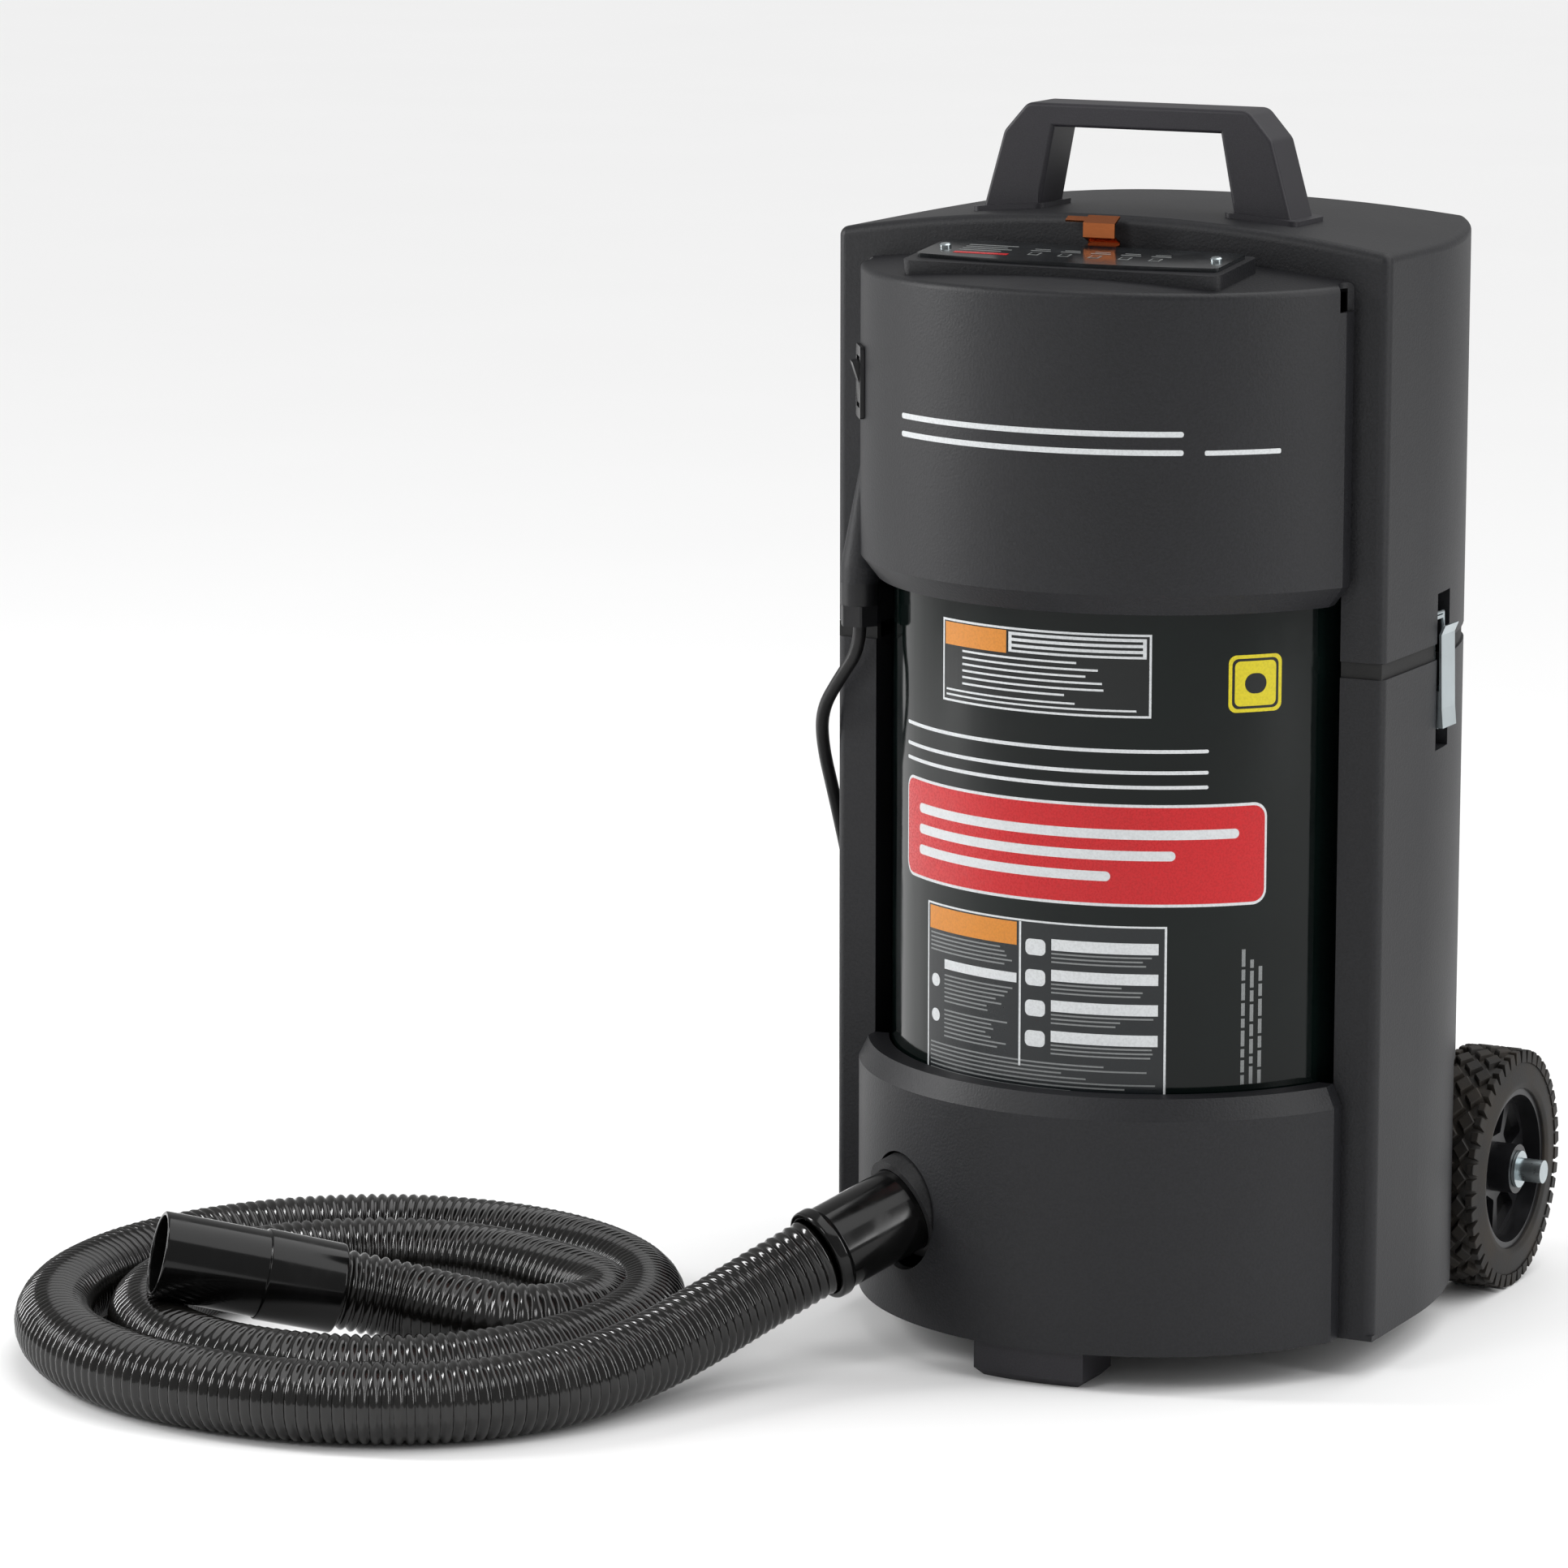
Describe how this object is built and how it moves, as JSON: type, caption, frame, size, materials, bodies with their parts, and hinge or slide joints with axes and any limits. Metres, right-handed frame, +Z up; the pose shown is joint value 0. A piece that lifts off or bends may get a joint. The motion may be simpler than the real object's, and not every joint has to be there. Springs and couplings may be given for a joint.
{
  "type": "portable dust and fume collector",
  "caption": "Wheeled portable extractor with a filter drum between moulded shells, a lift-off blower head, ribbed suction hose, power cord and side latches.",
  "frame": {"origin": "on the floor under the middle of the machine's own box, hose and power cord left out", "axes": "+Z up, -Y towards the front with the drum, +X to the machine's side with the hose port on its other side"},
  "size_m": [0.8199, 0.8462, 0.772],
  "materials": {
    "shell_plastic": "fine moulded grain, satin",
    "handle_plastic": "smooth satin",
    "drum_gloss": "gloss black wrap",
    "screen_steel": "pierced sheet",
    "end_ring_rubber": "soft moulded",
    "pleated_paper": "pleated",
    "chamber_plastic": "plain moulded",
    "zinc": "bright zinc plate",
    "plate_print": "printed plate",
    "copper": "bright copper",
    "switch_plastic": "moulded",
    "gland_nylon": "nylon",
    "board": "circuit board",
    "motor_steel": "pressed steel",
    "fan_aluminium": "pressed",
    "tyre_rubber": "matt rubber",
    "rim_plastic": "moulded",
    "hose_pvc": "ribbed, glossy",
    "cuff_plastic": "moulded, glossy",
    "cord_rubber": "matt sheath"
  },
  "bodies": {
    "base": {"lower_shell": "shell_plastic", "lower_front_cap": "shell_plastic", "front_foot": "handle_plastic", "foot_screws": "zinc", "seam_gasket": "end_ring_rubber", "inlet_chamber": "chamber_plastic", "inlet_collar": "chamber_plastic", "spark_screen": "screen_steel", "filter_can": "drum_gloss", "filter_rings": "end_ring_rubber", "filter_media": "pleated_paper", "filter_core": "screen_steel", "filter_gasket": "end_ring_rubber", "axle_carrier": "shell_plastic", "axle": "zinc", "axle_spacers": "zinc", "axle_washers": "zinc", "axle_caps": "zinc", "latch_base_left": "zinc", "latch_base_right": "zinc", "hose_cuff": "cuff_plastic", "hose_run": "hose_pvc", "hose_coil": "hose_pvc", "hose_tail": "hose_pvc", "hose_nozzle": "cuff_plastic", "power_cord_run": "cord_rubber", "power_cord_coil": "cord_rubber", "power_cord_end": "cord_rubber", "cord_tie": "gland_nylon", "power_plug": "cord_rubber"},
    "head": {"upper_shell": "shell_plastic", "upper_front_cap": "shell_plastic", "handle": "handle_plastic", "handle_screws": "zinc", "top_plate": "plate_print", "plate_screws": "zinc", "spring_clip": "copper", "switch_frame": "switch_plastic", "cable_gland": "gland_nylon", "gland_nut": "gland_nylon", "motor_deck": "screen_steel", "exhaust_grille": "shell_plastic", "control_board": "board", "fan_case_left": "chamber_plastic", "fan_case_right": "chamber_plastic", "motor_left": "motor_steel", "motor_right": "motor_steel", "latch_keeper_left": "zinc", "latch_keeper_right": "zinc"},
    "rocker": {"switch_rocker": "switch_plastic"},
    "fan_left": {"impeller_left": "fan_aluminium"},
    "fan_right": {"impeller_right": "fan_aluminium"},
    "lever_left": {"latch_lever_left": "zinc"},
    "lever_right": {"latch_lever_right": "zinc"},
    "bail_left": {"latch_bail_left": "zinc"},
    "bail_right": {"latch_bail_right": "zinc"},
    "wheel_left": {"wheel_rim_left": "rim_plastic", "tyre_left": "tyre_rubber"},
    "wheel_right": {"wheel_rim_right": "rim_plastic", "tyre_right": "tyre_rubber"}
  },
  "joints": [
    {"name": "head_lift", "type": "slide", "parent": "base", "child": "head", "axis": [0, 0, 1], "range_m": [0, 0.12]},
    {"name": "switch", "type": "hinge", "parent": "head", "child": "rocker", "pos_m": [-0.15432, -0.13871, 0.602], "axis": [0.5446, -0.8387, 0], "range_deg": [-20, 0]},
    {"name": "fan_left_spin", "type": "hinge", "parent": "head", "child": "fan_left", "pos_m": [-0.078, -0.0185, 0.56], "axis": [0, 0, 1], "continuous": true},
    {"name": "wheel_left_spin", "type": "hinge", "parent": "base", "child": "wheel_left", "pos_m": [-0.161, 0.1425, 0.078], "axis": [1, 0, 0], "continuous": true},
    {"name": "latch_left", "type": "hinge", "parent": "base", "child": "lever_left", "pos_m": [-0.1805, -0.0075, 0.397], "axis": [0, -1, 0], "range_deg": [0, 100]},
    {"name": "bail_left_swing", "type": "hinge", "parent": "lever_left", "child": "bail_left", "pos_m": [-0.1805, -0.0075, 0.412], "axis": [0, -1, 0], "range_deg": [-85, 0]},
    {"name": "fan_right_spin", "type": "hinge", "parent": "head", "child": "fan_right", "pos_m": [0.078, -0.0185, 0.56], "axis": [0, 0, 1], "continuous": true},
    {"name": "wheel_right_spin", "type": "hinge", "parent": "base", "child": "wheel_right", "pos_m": [0.161, 0.1425, 0.078], "axis": [1, 0, 0], "continuous": true},
    {"name": "latch_right", "type": "hinge", "parent": "base", "child": "lever_right", "pos_m": [0.1805, -0.0075, 0.397], "axis": [0, 1, 0], "range_deg": [0, 100]},
    {"name": "bail_right_swing", "type": "hinge", "parent": "lever_right", "child": "bail_right", "pos_m": [0.1805, -0.0075, 0.412], "axis": [0, 1, 0], "range_deg": [-85, 0]}
  ],
  "couplings": [
    {"joint": "bail_left_swing", "follows": "latch_left", "ratio": -0.85},
    {"joint": "bail_right_swing", "follows": "latch_right", "ratio": -0.85}
  ]
}
